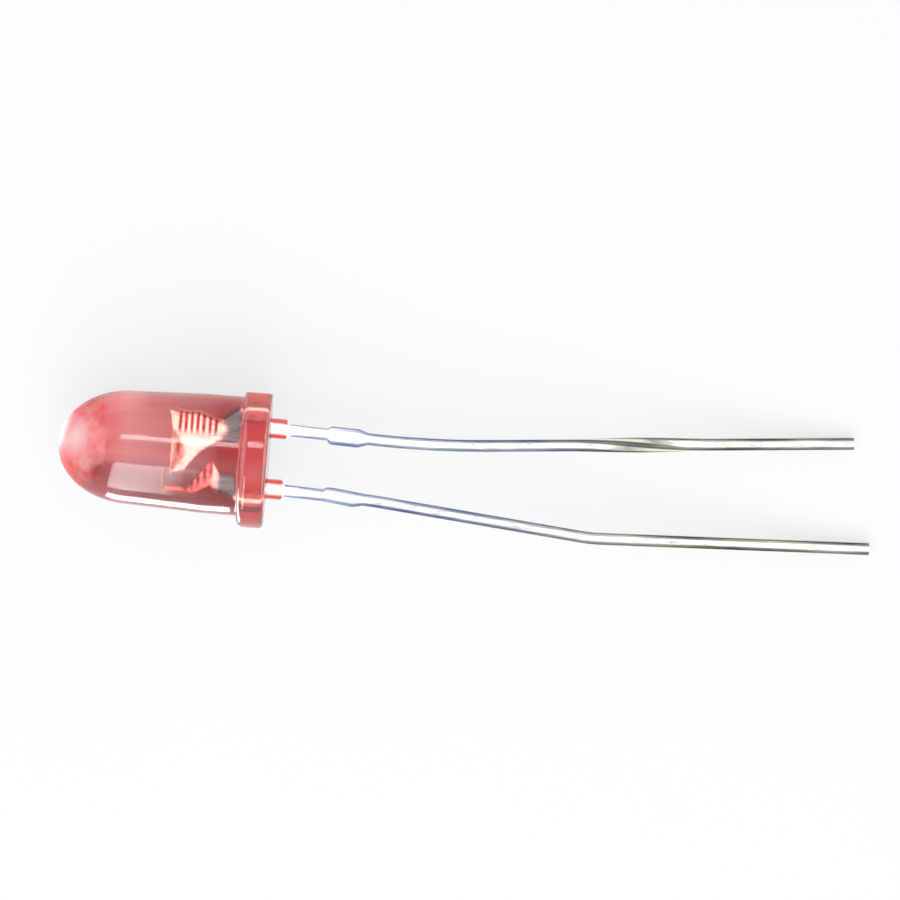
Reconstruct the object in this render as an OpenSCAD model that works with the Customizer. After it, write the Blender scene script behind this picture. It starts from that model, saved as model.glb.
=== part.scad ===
// Through-hole LED: a round lens cast in clear red resin over a stamped leadframe.
//
// The origin is the centre of the flange's back face. +X runs along the axis towards the lead
// tips, +Y points to the cathode and to the flat on the flange, and +Z is up. The LED lies on its
// side, where it touches the floor with the flange's rim and with the tips of both bent leads.
// Heights inside the lens are given as the distance from the flange's back face to the dome.

/* [Lens] */
// Diameter of the straight part of the barrel, next to the flange
barrel_d = 5; // [4.9:0.02:5.2]
// Length of the straight part of the barrel
barrel_len = 1.5; // [1:0.1:2.5]
// Length of the tapered part of the barrel
cone_len = 3.1; // [2:0.1:4]
// Diameter where the tapered part meets the dome
dome_d = 4.76; // [4.5:0.02:4.9]
// Height of the dome along the axis
dome_len = 3.05; // [2.4:0.05:3.6]

/* [Flange] */
// Diameter of the flange
flange_d = 5.9; // [5.6:0.05:6.2]
// Thickness of the flange
flange_t = 1.15; // [0.9:0.05:1.4]
// Fillet radius of the flange's front edge
flange_fillet = 0.35; // [0.1:0.05:0.4]
// Depth that the flat takes off the rim on the cathode side
flat_depth = 0.25; // [0.1:0.05:0.4]

/* [Resin collars on the leads] */
// Diameter of the collar round each lead
collar_d = 0.84; // [0.76:0.02:1.2]
// Height of the collar behind the flange
collar_len = 0.7; // [0.3:0.05:1]
// Chamfer on the collar's end
collar_chamfer = 0.1; // [0.04:0.02:0.2]

/* [Leads] */
// Distance between the two leads where they leave the flange
pitch = 2.54; // [2.4:0.02:2.7]
// Width and thickness of the square lead, and thickness of the whole leadframe
lead_w = 0.5; // [0.4:0.02:0.52]
// Length of the cathode lead along the axis
cathode_len = 24.4; // [20:0.1:30]
// Length of the anode lead along the axis, the longer of the two
anode_len = 25.4; // [20:0.1:31]

/* [Stubs of the dam bar] */
// Distance from the flange to the start of the stubs
dam_at = 2.4; // [1.6:0.1:4]
// Length of the stubs
dam_len = 1.7; // [1.6:0.05:2.4]
// How far the cathode's stub stands out on its outer edge
cathode_stub_out = 0.12; // [0.02:0.01:0.2]
// How far the cathode's stub stands out on its inner edge
cathode_stub_in = 0.15; // [0.02:0.01:0.2]
// How far the anode's stub stands out on its outer edge
anode_stub_out = 0.1; // [0.02:0.01:0.2]
// How far the anode's stub stands out on its inner edge
anode_stub_in = 0.1; // [0.02:0.01:0.2]
// Length of the steep end of a stub
stub_short = 0.15; // [0.05:0.05:0.4]
// Length of the gentle end of a stub, towards the lead's tip
stub_mid = 0.4; // [0.1:0.05:0.6]
// Length of the long slopes of the anode's stub, where the dam bar was cut at an angle
stub_long = 1.2; // [0.4:0.05:1.2]

/* [Bends in the leads] */
// Angle at which both leads leave the flange, towards the anode's side
lean = 1.9; // [0:0.1:4]
// Start of the cathode's bend
cathode_bend_at = 4.2; // [3:0.1:8]
// Length of the cathode's bend
cathode_bend_len = 5; // [1:0.1:8]
// Angle of the cathode's bend, away from the anode
cathode_bend = 6.8; // [2:0.1:12]
// Start of the anode's first bend
anode_bend_at = 3.9; // [3:0.1:8]
// Length of the anode's first bend
anode_bend_len = 0.9; // [0.5:0.1:3]
// Angle of the anode's first bend, away from the cathode
anode_bend = 3.3; // [0:0.1:6]
// Start of the anode's kink
kink_at = 13.3; // [10:0.1:18]
// Length of the anode's kink
kink_len = 0.9; // [0.4:0.1:2]
// Angle of the anode's kink, back towards the cathode
kink = 7.5; // [0:0.1:9]
// Start of the bend that takes both leads down to the floor
droop_at = 2.8; // [1:0.1:6]
// Length of the bend that takes both leads down to the floor
droop_len = 2.4; // [1:0.1:6]

/* [Twist in the cathode lead] */
// Start of the twist
twist_at = 12.4; // [10:0.1:16]
// Length of the twist
twist_len = 6.2; // [3:0.1:8]

/* [Leadframe inside the lens] */
// Height at which each lead widens
strip_len = 1.17; // [0.9:0.01:1.4]
// Height of the neck in the anvil and in the post
neck_at = 2.13; // [1.9:0.01:2.3]
// Distance from the axis to the outer edge of the necks
neck_out = 0.95; // [0.85:0.01:1.05]
// Distance from the axis to the inner edge of the anvil below its neck
anvil_in = 0.38; // [0.3:0.01:0.5]
// Height over which the anvil and the post widen again above their necks
fan_rise = 0.8; // [0.5:0.05:1.1]
// Distance from the axis to the anvil's outer edge above that
fan_out = 1.16; // [1.05:0.01:1.2]
// Height where the anvil's inner edge crosses the axis
anvil_cross_at = 2.85; // [2.6:0.01:3]
// Height of the heel below the cup, where that edge bends towards the dome
heel_at = 3.4; // [3.2:0.01:3.6]
// Distance from the axis to the heel
heel_out = 0.52; // [0.45:0.01:0.6]
// Height of the anvil's outer horn
anvil_top = 4.2; // [4.1:0.01:4.4]
// Length of that horn
horn_len = 0.4; // [0.2:0.05:0.6]
// Distance from the axis to the tip of that horn
horn_out = 1.27; // [1.2:0.01:1.35]
// Height of the post
post_top = 4.2; // [4.1:0.01:4.4]
// Distance from the axis to the post's outer edge, at its shoulder and along its arm
post_out = 1.23; // [1.2:0.01:1.35]
// Distance from the axis to the post's inner corner
post_in = 0.15; // [0.1:0.01:0.3]
// Distance from the axis to the post's inner edge below that corner
post_low_in = 0.57; // [0.45:0.01:0.7]
// How far the post's shoulders lie above the strip, and its neck and corner above the anvil's neck
post_set = 0.2; // [0.1:0.01:0.3]
// Height at which the post becomes a narrow arm beside the cup
arm_at = 3.2; // [3:0.01:3.4]
// Width of the gap between the cup and the post's arm
frame_gap = 0.37; // [0.3:0.01:0.42]

/* [Grooves pressed into the leadframe] */
// Distance between neighbouring grooves
groove_pitch = 0.245; // [0.2:0.005:0.26]
// Width of a groove
groove_w = 0.13; // [0.08:0.01:0.16]
// Depth of a groove
groove_depth = 0.08; // [0.04:0.01:0.12]
// Number of grooves on the anvil
anvil_grooves = 7; // [3:1:7]
// Distance from the axis to the inner end of the anvil's grooves
anvil_groove_in = 0.52; // [0.4:0.02:0.7]
// Number of grooves on the post
post_grooves = 5; // [2:1:5]
// Distance from the axis to the outer end of the post's lowest groove
post_groove_out = 0.72; // [0.5:0.02:0.76]
// How much further out each next groove on the post ends
post_groove_step = 0.14; // [0.05:0.01:0.2]
// How far the post's grooves lie above the anvil's
post_groove_shift = 0.06; // [0:0.01:0.1]

/* [Reflector cup] */
// Height of the cup's rim
cup_top = 4.02; // [3.9:0.01:4.1]
// Depth of the cup
cup_depth = 0.4; // [0.28:0.01:0.45]
// Diameter of the cup's mouth
cup_mouth_d = 1.16; // [1:0.02:1.2]
// Diameter of the cup's floor
cup_floor_d = 0.58; // [0.5:0.02:0.64]
// Thickness of the cup's wall
cup_wall = 0.08; // [0.05:0.01:0.1]
// Height of the foot that runs from the cup into the anvil
cup_foot = 0.3; // [0.2:0.05:0.5]

/* [Die and bond wire] */
// Width of the square die
die_w = 0.3; // [0.2:0.01:0.32]
// Height of the die
die_h = 0.18; // [0.1:0.01:0.25]
// Diameter of the die's contact pad
pad_d = 0.12; // [0.1:0.01:0.16]
// Height of the die's contact pad
pad_h = 0.01; // [0.005:0.005:0.02]
// Diameter of the spot of adhesive under the die
adhesive_d = 0.48; // [0.46:0.01:0.5]
// Thickness of the adhesive under the die
adhesive_t = 0.03; // [0.02:0.01:0.05]
// Diameter of the bond wire
wire_d = 0.03; // [0.025:0.005:0.05]
// Diameter of the ball where the wire meets the die
ball_d = 0.09; // [0.07:0.01:0.1]
// Height of that ball
ball_h = 0.035; // [0.02:0.005:0.05]
// How far the wire's loop rises above the cup's rim
loop_rise = 0.2; // [0.15:0.05:0.9]

/* [Hidden] */
$fn = 96;

resin_colour = [0.85, 0.2, 0.2, 0.45];
plated_colour = [0.86, 0.86, 0.83];
adhesive_colour = [0.7, 0.7, 0.68];
die_colour = [0.35, 0.2, 0.22];
gold_colour = [0.9, 0.7, 0.3];

// A feature that is cut away reaches past its face by this much
clear = 0.2;

barrel_top = flange_t + barrel_len;
taper_top = barrel_top + cone_len;
flat_y = flange_d / 2 - flat_depth;

// A drooping lead ends with the lower edge of its tip on the floor, at the level of the rim
tip_drop = flange_d / 2 - lead_w / 2;

// Each bend of a lead is [start, length, change of slope], measured along the axis
lean_slope = -tan(lean);
cathode_bends = [[cathode_bend_at, cathode_bend_len, tan(cathode_bend)]];
anode_bends = [
    [anode_bend_at, anode_bend_len, -tan(anode_bend)],
    [kink_at, kink_len, tan(kink)]
];

// How fast each stub grows and fades along the lead, as [rise, fall]: the outer edge, the inner one
cathode_stub_ends = [[stub_short, stub_mid], [stub_short, stub_mid]];
anode_stub_ends = [[stub_long, stub_mid], [stub_short, stub_long]];

// The flange's front fillet, no wider than the step from the flange to the barrel
front_fillet = min(flange_fillet, (flange_d - barrel_d) / 2);

// y at which each groove starts, on the anvil and on the post
anvil_groove_starts = [for (i = [1 : anvil_grooves]) anvil_groove_in];
post_groove_starts = [for (i = [1 : post_grooves]) -post_groove_out - (i - 1) * post_groove_step];

// Die stack, counted up from the cup's floor
cup_floor = cup_top - cup_depth;
die_base = cup_floor + adhesive_t;
pad_base = die_base + die_h;
ball_base = pad_base + pad_h;

lead_in = pitch / 2 - lead_w / 2;
lead_out = pitch / 2 + lead_w / 2;
cup_r = cup_mouth_d / 2 + cup_wall;
post_arm_in = cup_r + frame_gap;

// ---- Lens ---------------------------------------------------------------------------------

// Puts a shape that stands on its own z axis onto the LED's axis, towards the dome
module on_axis(height = 0) {
    translate([-height, 0, 0])
        rotate([0, -90, 0])
            children();
}

// Turned outline of the flange and barrel. The flange's front edge is a quarter circle.
function barrel_outline(steps = 8) = concat(
    [[0, 0], [flange_d / 2, 0]],
    [for (i = [0 : steps])
        let (a = 90 * i / steps)
        [flange_d / 2 - front_fillet * (1 - cos(a)), flange_t - front_fillet * (1 - sin(a))]],
    [[barrel_d / 2, flange_t], [barrel_d / 2, barrel_top], [dome_d / 2, taper_top], [0, taper_top]]
);

// Upper half of an ellipsoid
module dome() {
    intersection() {
        scale([1, 1, 2 * dome_len / dome_d])
            sphere(d = dome_d);
        cylinder(d = dome_d + 2 * clear, h = dome_len + clear);
    }
}

module collar() {
    cylinder(d = collar_d, h = collar_len - collar_chamfer);
    translate([0, 0, collar_len - collar_chamfer])
        cylinder(d1 = collar_d, d2 = collar_d - 2 * collar_chamfer, h = collar_chamfer);
}

// The mould's form, before the room for the leadframe is taken out of it
module lens_form() {
    difference() {
        on_axis()
            rotate_extrude()
                polygon(barrel_outline());
        translate([-flange_t - clear, flat_y, -flange_d / 2])
            cube([flange_t + 2 * clear, flange_d, flange_d]);
    }
    on_axis(taper_top)
        dome();
    for (side = [-1, 1])
        translate([0, side * pitch / 2, 0])
            rotate([0, 90, 0])
                collar();
}

module epoxy_lens() {
    color(resin_colour)
        difference() {
            lens_form();
            cathode_form();
            anode_form();
            adhesive_form();
            die_form();
            wire_form();
        }
}

// ---- Leads --------------------------------------------------------------------------------

function limit(v) = max(0, min(1, v));
function total(list, i = 0) = i < len(list) ? list[i] + total(list, i + 1) : 0;
function unit(v) = v / norm(v);

// Offset and slope that a bend has added at x: none before it, a parabola in it, a line after it
function bend_offset(x, b) =
    x <= b[0] ? 0 :
    x >= b[0] + b[1] ? b[2] * (x - b[0] - b[1] / 2) :
    b[2] * pow(x - b[0], 2) / (2 * b[1]);
function bend_slope(x, b) = b[2] * limit((x - b[0]) / b[1]);

// The droop whose lead of this length ends on the floor
function droop(length) =
    let (run = length - droop_at - droop_len / 2, angle = atan(tip_drop / run))
    [droop_at, droop_len, -(tip_drop + lead_w / 2 * (1 - cos(angle))) / run];

// Height of a stub at x for a stub 1 high, from its [rise, fall]
function stub(x, ends) =
    min(limit((x - dam_at) / ends[0]), limit((dam_at + dam_len - x) / ends[1]));

// A turn of 90 degrees that starts and stops gently
function twist(x) = let (t = limit((x - twist_at) / twist_len)) 90 * t * t * (3 - 2 * t);

function sorted(list) =
    len(list) < 2 ? list :
    let (pivot = list[0])
    concat(sorted([for (v = list) if (v < pivot) v]), [pivot],
           sorted([for (v = list) if (v > pivot) v]));

function steps_over(start, length, count) = [for (i = [0 : count]) start + length * i / count];

// Places along x where a lead gets a cross section
function stations(length, bends, ends, twisted) =
    sorted([for (x = concat(
        [0, length, dam_at, dam_at + dam_len],
        [for (e = ends) dam_at + e[0]],
        [for (e = ends) dam_at + dam_len - e[1]],
        [for (b = concat(bends, [[droop_at, droop_len]])) each steps_over(b[0], b[1], 6)],
        twisted ? steps_over(twist_at, twist_len, 20) : [])
    ) round(x * 1000) / 1000]);

// Corners of the lead's section at x, square to its run. side is 1 for the cathode's side.
function section(x, side, bends, down, stubs, ends, angle) =
    let (
        centre = [x,
                  side * pitch / 2 + lean_slope * x + total([for (b = bends) bend_offset(x, b)]),
                  bend_offset(x, down)],
        slope = lean_slope * sign(x) + total([for (b = bends) bend_slope(x, b)]),
        run = unit([1, slope, bend_slope(x, down)]),
        across = unit([-slope, 1, 0]),
        up = cross(run, across),
        wide = across * cos(angle) + up * sin(angle),
        thick = up * cos(angle) - across * sin(angle),
        out = lead_w / 2 + stubs[0] * stub(x, ends[0]),
        in = lead_w / 2 + stubs[1] * stub(x, ends[1]),
        high = side > 0 ? out : in,
        low = side > 0 ? in : out,
        half = lead_w / 2
    )
    [centre - wide * low - thick * half, centre + wide * high - thick * half,
     centre + wide * high + thick * half, centre - wide * low + thick * half];

// Skin over rings of points: two triangles for each side of each stretch, and a cap at each end
module skin(rings) {
    n = len(rings[0]);
    last = len(rings) - 1;
    polyhedron(
        points = [for (r = rings) each r],
        faces = concat(
            [[for (i = [0 : n - 1]) i]],
            [for (k = [0 : last - 1], i = [0 : n - 1])
                let (a = k * n + i, b = k * n + (i + 1) % n)
                each [[a, a + n, b + n], [a, b + n, b]]],
            [[for (i = [n - 1 : -1 : 0]) last * n + i]]
        )
    );
}

module lead(length, side, bends, stubs, ends, twisted = false) {
    down = droop(length);
    skin([for (x = stations(length, bends, ends, twisted))
        section(x, side, bends, down, stubs, ends, twisted ? twist(x) : 0)]);
}

// A flat stamping from its outline of [height, y] points
module stamping(outline) {
    translate([0, 0, -lead_w / 2])
        linear_extrude(lead_w)
            polygon([for (p = outline) [-p.x, p.y]]);
}

// V-shaped grooves across the stamping's upper face above its neck, from each start to y = edge
module grooves(starts, edge, shift = 0) {
    for (i = [0 : len(starts) - 1])
        translate([-neck_at - shift - (i + 0.5) * groove_pitch, starts[i], lead_w / 2])
            rotate([-90, 0, 0])
                linear_extrude(edge - starts[i])
                    polygon([[-groove_w / 2, 0], [0, groove_depth], [groove_w / 2, 0],
                             [groove_w / 2, -clear], [-groove_w / 2, -clear]]);
}

// ---- Cathode ------------------------------------------------------------------------------

anvil_outline = [
    [0, lead_in], [0, lead_out], [strip_len, lead_out], [neck_at, neck_out],
    [neck_at + fan_rise, fan_out], [anvil_top - horn_len, fan_out], [anvil_top, horn_out],
    [cup_top, cup_r], [cup_top, -cup_r], [heel_at, -heel_out], [anvil_cross_at, 0],
    [neck_at, anvil_in], [strip_len, anvil_in], [strip_len, lead_in]
];

// Outside of the cup: a rim, a cone and a foot that runs into the anvil
module cup_outside() {
    floor_r = cup_floor_d / 2 + cup_wall;
    foot = cup_floor - cup_foot;
    on_axis()
        rotate_extrude()
            polygon([[0, foot], [floor_r / 2, foot], [floor_r, cup_floor],
                     [cup_r, cup_top - cup_wall], [cup_r, cup_top], [0, cup_top]]);
}

module cup_inside() {
    slope = (cup_mouth_d - cup_floor_d) / 2 / cup_depth;
    on_axis(cup_floor)
        cylinder(d1 = cup_floor_d, d2 = cup_mouth_d + 2 * slope * clear, h = cup_depth + clear);
}

module cathode_form() {
    difference() {
        union() {
            stamping(anvil_outline);
            cup_outside();
        }
        cup_inside();
        grooves(anvil_groove_starts, horn_out + clear);
    }
    lead(cathode_len, 1, cathode_bends, [cathode_stub_out, cathode_stub_in], cathode_stub_ends,
         twisted = true);
}

module cathode_lead() {
    color(plated_colour)
        cathode_form();
}

// ---- Anode --------------------------------------------------------------------------------

post_outline = [
    [0, -lead_out], [0, -lead_in], [strip_len, -lead_in], [strip_len + post_set, -post_low_in],
    [neck_at - post_set, -post_low_in], [neck_at + post_set, -post_in],
    [arm_at, -post_arm_in], [post_top, -post_arm_in], [post_top, -post_out],
    [neck_at + fan_rise, -post_out], [neck_at + post_set, -neck_out],
    [strip_len + post_set, -post_out], [strip_len, -lead_out]
];

module anode_form() {
    difference() {
        stamping(post_outline);
        grooves(post_groove_starts, 0, post_groove_shift);
    }
    lead(anode_len, -1, anode_bends, [anode_stub_out, anode_stub_in], anode_stub_ends);
}

module anode_lead() {
    color(plated_colour)
        anode_form();
}

// ---- Die, adhesive and bond wire ----------------------------------------------------------

module adhesive_form() {
    on_axis(cup_floor)
        cylinder(d = adhesive_d, h = adhesive_t);
}

module die_adhesive() {
    color(adhesive_colour)
        adhesive_form();
}

module die_form() {
    on_axis(die_base)
        translate([-die_w / 2, -die_w / 2, 0])
            cube([die_w, die_w, die_h]);
    on_axis(pad_base)
        cylinder(d = pad_d, h = pad_h);
}

module led_die() {
    color(die_colour)
        die_form();
}

// A cubic curve through four control points
function curve(t, p) =
    pow(1 - t, 3) * p[0] + 3 * t * pow(1 - t, 2) * p[1] + 3 * t * t * (1 - t) * p[2] + pow(t, 3) * p[3];
function curve_run(t, p) =
    unit(pow(1 - t, 2) * (p[1] - p[0]) + 2 * t * (1 - t) * (p[2] - p[1]) + t * t * (p[3] - p[2]));

// The wire leaves the ball square to the die and meets the post's end square to it
module wire_form(steps = 20, sides = 8) {
    wire_start = ball_base + ball_h;
    post_middle = -(post_arm_in + post_out) / 2;
    path = [[-wire_start, 0, 0], [-cup_top - 1.6 * loop_rise, 0, 0],
            [-post_top - 1.1 * loop_rise, post_middle, 0], [-post_top, post_middle, 0]];
    on_axis(ball_base)
        cylinder(d = ball_d, h = ball_h);
    skin([for (k = [0 : steps])
        let (t = k / steps, run = curve_run(t, path), up = [0, 0, 1], across = cross(up, run))
        [for (i = [0 : sides - 1])
            let (a = 360 * i / sides)
            curve(t, path) + wire_d / 2 * (across * cos(a) + up * sin(a))]]);
}

module bond_wire() {
    color(gold_colour)
        wire_form();
}

epoxy_lens();
cathode_lead();
anode_lead();
die_adhesive();
led_die();
bond_wire();
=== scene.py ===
"""A through-hole LED: a clear red resin lens over a plated leadframe, lying on a pale floor.

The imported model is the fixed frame. The resin, the two leads, the adhesive, the die and the bond
wire are surfaces worked out here at the sizes of that frame. +X runs along the axis to the lead
tips, +Y to the cathode, +Z is up, and heights inside the lens count from the flange to the dome.
"""

import math

import bpy
import numpy as np
from mathutils import Matrix, Vector
from mathutils.geometry import delaunay_2d_cdt


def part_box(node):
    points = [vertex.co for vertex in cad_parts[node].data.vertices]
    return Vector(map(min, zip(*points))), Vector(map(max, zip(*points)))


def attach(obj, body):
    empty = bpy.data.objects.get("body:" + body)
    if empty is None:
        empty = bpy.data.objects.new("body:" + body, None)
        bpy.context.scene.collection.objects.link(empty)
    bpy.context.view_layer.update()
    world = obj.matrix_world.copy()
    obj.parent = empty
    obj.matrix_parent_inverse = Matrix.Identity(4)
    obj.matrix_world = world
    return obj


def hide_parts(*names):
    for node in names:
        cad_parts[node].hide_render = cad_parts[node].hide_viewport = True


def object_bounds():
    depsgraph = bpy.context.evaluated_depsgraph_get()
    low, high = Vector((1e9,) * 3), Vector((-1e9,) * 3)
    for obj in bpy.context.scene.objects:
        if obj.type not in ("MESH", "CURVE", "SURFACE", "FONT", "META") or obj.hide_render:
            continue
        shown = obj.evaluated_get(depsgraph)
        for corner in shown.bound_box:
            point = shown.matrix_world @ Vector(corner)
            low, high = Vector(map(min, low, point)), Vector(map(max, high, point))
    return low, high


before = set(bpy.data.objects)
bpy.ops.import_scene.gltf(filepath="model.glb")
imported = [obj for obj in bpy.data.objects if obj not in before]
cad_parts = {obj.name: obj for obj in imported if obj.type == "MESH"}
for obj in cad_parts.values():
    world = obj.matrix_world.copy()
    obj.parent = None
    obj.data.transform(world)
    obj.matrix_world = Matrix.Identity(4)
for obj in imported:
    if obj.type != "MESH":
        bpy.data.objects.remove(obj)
CAD_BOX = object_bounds()

bl_info = {
    "name": "Through-hole LED",
    "version": (1, 0, 0),
    "blender": (4, 5, 0),
    "location": "View3D > Sidebar > LED",
    "description": "Builds the finished surfaces of a through-hole LED and its stage",
    "category": "Object",
}

MM = 0.001


def node_box(node):
    """A CAD node's box in millimetres."""
    return [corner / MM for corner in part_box(node)]


LENS_LO, LENS_HI = node_box("epoxy_lens")
CATHODE_LO, CATHODE_HI = node_box("cathode_lead")
ANODE_LO, ANODE_HI = node_box("anode_lead")
DIE_LO, DIE_HI = node_box("led_die")
ADHESIVE_LO, ADHESIVE_HI = node_box("die_adhesive")


# ---- Sizes and colours a user would change -------------------------------------------------------


def length(name, description, default):
    """A length in millimetres."""
    return bpy.props.FloatProperty(
        name=name, description=description, default=default, min=0, precision=3
    )


def colour(name, description, default):
    """A linear colour."""
    return bpy.props.FloatVectorProperty(
        name=name, description=description, default=default, subtype="COLOR", size=3,
        min=0, max=1
    )


def factor(name, description, default, top=1.0):
    """A plain number from 0 to top."""
    return bpy.props.FloatProperty(
        name=name, description=description, default=default, min=0, max=top
    )


class LensSizes(bpy.types.PropertyGroup):
    """Sizes of the cast resin, in millimetres"""

    barrel_d: length("Barrel diameter", "Diameter of the barrel next to the flange", 5.0)
    barrel_len: length("Barrel length", "Length of the straight part of the barrel", 1.5)
    cone_len: length("Taper length", "Length of the tapered part of the barrel", 3.1)
    dome_d: length("Dome diameter", "Diameter where the taper meets the dome", 4.76)
    flange_t: length("Flange thickness", "Thickness of the flange", 1.15)
    flange_fillet: length("Flange fillet", "Fillet of the flange's front edge", 0.35)
    rim_round: length("Rim rounding", "Rounding of the flange's back edge", 0.2)
    root_round: length("Root rounding", "Rounding where the barrel meets the flange", 0.05)
    collar_d: length("Collar diameter", "Diameter of the resin collar round each lead", 0.84)
    collar_round: length("Collar rounding", "Rounding of the collar's end", 0.1)
    collar_foot: length("Collar foot", "Rounding where a collar meets the flange", 0.07)


class LeadSizes(bpy.types.PropertyGroup):
    """Sizes of the leads outside the lens, in millimetres and degrees"""

    pitch: length("Pitch", "Distance between the leads at the flange", 2.54)
    width: length("Width", "Width and thickness of the square lead", 0.5)
    edge_round: length("Edge rounding", "Rounding along the lead's edges", 0.1)
    dam_at: length("Dam bar at", "Distance from the flange to the dam bar's stubs", 2.4)
    dam_len: length("Dam bar length", "Length of the dam bar's stubs", 1.7)
    cathode_stub_out: length("Cathode stub, outer", "Height of its outer stub", 0.12)
    cathode_stub_in: length("Cathode stub, inner", "Height of its inner stub", 0.15)
    anode_stub: length("Anode stubs", "Height of the anode's stubs", 0.1)
    stub_short: length("Steep stub end", "Length of the steep end of a stub", 0.15)
    stub_mid: length("Gentle stub end", "Length of the gentle end of a stub", 0.4)
    stub_long: length("Long stub end", "Length of the anode's long stub ends", 1.2)
    lean: factor("Lean", "Angle at which the leads leave the flange, in degrees", 1.9, 10)
    cathode_bend_at: length("Cathode bend at", "Start of the cathode's bend", 4.2)
    cathode_bend_len: length("Cathode bend length", "Length of the cathode's bend", 5.0)
    cathode_bend: factor("Cathode bend", "Angle of the cathode's bend, in degrees", 6.8, 20)
    anode_bend_at: length("Anode bend at", "Start of the anode's first bend", 3.9)
    anode_bend_len: length("Anode bend length", "Length of the anode's first bend", 0.9)
    anode_bend: factor("Anode bend", "Angle of the anode's first bend, in degrees", 3.3, 20)
    kink_at: length("Kink at", "Start of the anode's kink", 13.3)
    kink_len: length("Kink length", "Length of the anode's kink", 0.9)
    kink: factor("Kink", "Angle of the anode's kink, in degrees", 7.5, 20)
    droop_at: length("Droop at", "Start of the bend down to the floor", 2.8)
    droop_len: length("Droop length", "Length of the bend down to the floor", 2.4)
    twist_at: length("Twist at", "Distance from the flange to the cathode's twist", 12.4)
    twist_len: length("Twist length", "Length of the cathode's twist", 6.2)


class StampingSizes(bpy.types.PropertyGroup):
    """Sizes of the leadframe inside the lens, in millimetres from the flange and from the axis"""

    strip_len: length("Strip", "Height at which each lead widens", 1.17)
    neck_at: length("Neck at", "Height of the anvil's neck", 2.13)
    neck_out: length("Neck", "Distance from the axis to the outer edge of the necks", 0.95)
    anvil_in: length("Anvil, inner", "Inner edge of the anvil below its neck", 0.38)
    fan_rise: length("Fan rise", "Height over which anvil and post widen again", 0.8)
    fan_out: length("Fan, outer", "Outer edge of the anvil above its neck", 1.16)
    cross_at: length("Crossing", "Height where the anvil's inner edge crosses the axis", 2.85)
    heel_at: length("Heel at", "Height of the heel below the cup", 3.4)
    heel_out: length("Heel", "Distance from the axis to the heel", 0.52)
    horn_len: length("Horn length", "Length of the anvil's horn", 0.4)
    horn_out: length("Horn", "Distance from the axis to the tip of the horn", 1.27)
    post_set: length("Post shoulder", "Height of the post's shoulders above the strip", 0.2)
    post_out: length("Post, outer", "Outer edge of the post's shoulder and arm", 1.23)
    post_in: length("Post corner", "Distance from the axis to the post's inner corner", 0.15)
    post_low_in: length("Post, inner", "Inner edge of the post below that corner", 0.57)
    arm_at: length("Arm at", "Height at which the post becomes a narrow arm", 3.2)
    frame_gap: length("Gap", "Gap between the cup and the post's arm", 0.37)
    edge_round: length("Edge rounding", "Rounding of the stamped edges", 0.05)
    # Painted highlight strips along the leads inside the flange
    cathode_highlight: length("Cathode strip", "Place of the cathode's bright strip", 1.46)
    anode_highlight: length("Anode strip", "Place of the anode's bright strip", 1.3)
    highlight_w: length("Strip width", "Half the width of a bright strip", 0.06)
    groove_pitch: length("Groove pitch", "Distance between neighbouring grooves", 0.245)
    groove_w: length("Groove width", "Width of a groove", 0.13)
    groove_depth: length("Groove depth", "Depth of a groove", 0.08)
    groove_end: length("Groove end", "Length over which a groove's end fades", 0.3)
    anvil_grooves: bpy.props.IntProperty(
        name="Anvil grooves", description="Number of grooves on the anvil", default=7, min=0
    )
    anvil_groove_in: length("Anvil groove", "Inner end of the anvil's grooves", 0.52)
    post_grooves: bpy.props.IntProperty(
        name="Post grooves", description="Number of grooves on the post", default=5, min=0
    )
    post_groove_out: length("Post groove", "Outer end of the post's lowest groove", 0.72)
    post_groove_step: length("Post groove step", "How much further out each next one ends", 0.14)
    post_groove_shift: length("Post groove shift", "How far they lie above the anvil's", 0.06)
    cup_top: length("Cup rim", "Height of the cup's rim", 4.02)
    cup_depth: length("Cup depth", "Depth of the cup", 0.4)
    cup_mouth_d: length("Cup mouth", "Diameter of the cup's mouth", 1.16)
    cup_floor_d: length("Cup floor", "Diameter of the cup's floor", 0.58)
    cup_wall: length("Cup wall", "Thickness of the cup's wall", 0.08)
    cup_foot: length("Cup foot", "Height of the foot that runs into the anvil", 0.3)


class SmallParts(bpy.types.PropertyGroup):
    """Sizes, in millimetres, and colours of the die, its adhesive and the bond wire"""

    die_round: length("Die rounding", "Rounding of the die's edges", 0.02)
    ball_d: length("Ball diameter", "Diameter of the wire's ball on the die", 0.09)
    ball_h: length("Ball height", "Height of the wire's ball", 0.035)
    wire_d: length("Wire diameter", "Diameter of the bond wire", 0.03)
    loop_rise: length("Loop rise", "How far the bond wire arches past what it joins", 0.2)
    die: colour("Die", "Light tone of the die", (0.35, 0.16, 0.16))
    die_dark: colour("Die, dark", "Dark tone of the die", (0.12, 0.05, 0.06))
    silver: colour("Adhesive", "Light tone of the adhesive", (0.75, 0.75, 0.73))
    silver_dark: colour("Adhesive, dark", "Dark tone of the adhesive", (0.5, 0.5, 0.5))
    gold: colour("Gold", "Light tone of the bond wire", (0.95, 0.68, 0.28))
    gold_dark: colour("Gold, dark", "Dark tone of the bond wire", (0.85, 0.58, 0.22))


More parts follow.
